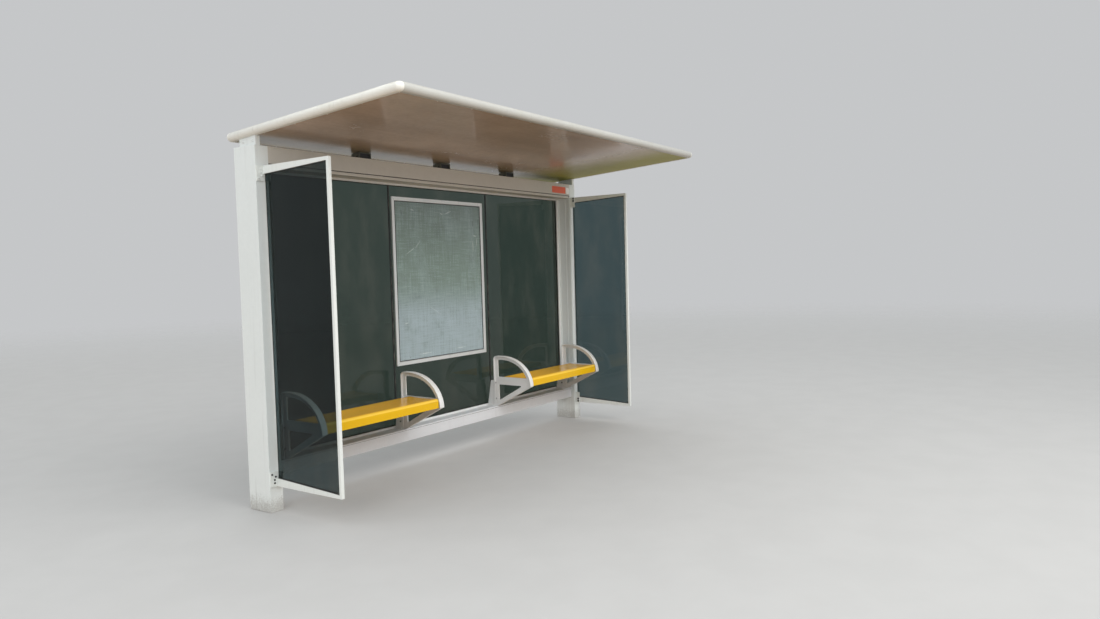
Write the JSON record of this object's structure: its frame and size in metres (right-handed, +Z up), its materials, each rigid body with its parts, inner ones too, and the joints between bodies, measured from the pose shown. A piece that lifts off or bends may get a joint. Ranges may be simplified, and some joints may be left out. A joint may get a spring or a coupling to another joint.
{
  "type": "bus shelter",
  "caption": "Open-fronted bus shelter: deep posts, header and lower beams, tinted back and side glass, yellow benches and a thin sloping roof.",
  "frame": {"origin": "middle of the left post's foot, on the ground", "axes": "+X along the back wall to the right post, -Y towards the street, +Z up"},
  "size_m": [3.6498, 1.5361, 2.4859],
  "materials": {
    "post_paint": "satin white powder coat, dusty",
    "header_paint": "satin white powder coat",
    "glazing_rail": "satin white powder coat",
    "panel_frame": "satin white powder coat",
    "bench_casting": "pale grey powder-coated casting",
    "seat": "yellow powder coat",
    "roof_edge": "cream white profile, satin",
    "roof_panel": "gloss composite sheet",
    "support_plug": "matt black",
    "joint_seal": "black seal",
    "back_glass": "tinted safety glass",
    "panel_glass": "tinted safety glass",
    "poster_frame": "satin anodised",
    "poster_backing": "grey backing sheet",
    "poster_cover": "clear cover"
  },
  "bodies": {
    "root": {"back_glass_left": "back_glass", "back_glass_middle": "back_glass", "back_glass_right": "back_glass", "glass_joint_strips": "joint_seal", "header_beam": "header_paint", "header_glazing_rail": "glazing_rail", "left_bench_arm_inner": "bench_casting", "left_bench_arm_outer": "bench_casting", "left_bench_pedestal_inner": "bench_casting", "left_bench_pedestal_outer": "bench_casting", "left_bench_seat": "seat", "left_glazing_channel": "glazing_rail", "left_panel_bottom_rail": "panel_frame", "left_panel_brackets": "panel_frame", "left_panel_glass": "panel_glass", "left_panel_stile": "panel_frame", "left_panel_top_rail": "panel_frame", "left_post": "post_paint", "left_roof_bracket": "header_paint", "lower_beam": "post_paint", "lower_glazing_rail": "glazing_rail", "poster_back": "poster_backing", "poster_cover": "poster_cover", "poster_frame": "poster_frame", "right_bench_arm_inner": "bench_casting", "right_bench_arm_outer": "bench_casting", "right_bench_pedestal_inner": "bench_casting", "right_bench_pedestal_outer": "bench_casting", "right_bench_seat": "seat", "right_glazing_channel": "glazing_rail", "right_panel_bottom_rail": "panel_frame", "right_panel_brackets": "panel_frame", "right_panel_glass": "panel_glass", "right_panel_stile": "panel_frame", "right_panel_top_rail": "panel_frame", "right_post": "post_paint", "right_roof_bracket": "header_paint", "roof_corners": "roof_edge", "roof_edge_back": "roof_edge", "roof_edge_front": "roof_edge", "roof_edge_left": "roof_edge", "roof_edge_right": "roof_edge", "roof_panel": "roof_panel", "roof_support_left": "header_paint", "roof_support_middle": "header_paint", "roof_support_plugs": "support_plug", "roof_support_right": "header_paint"}
  },
  "joints": []
}
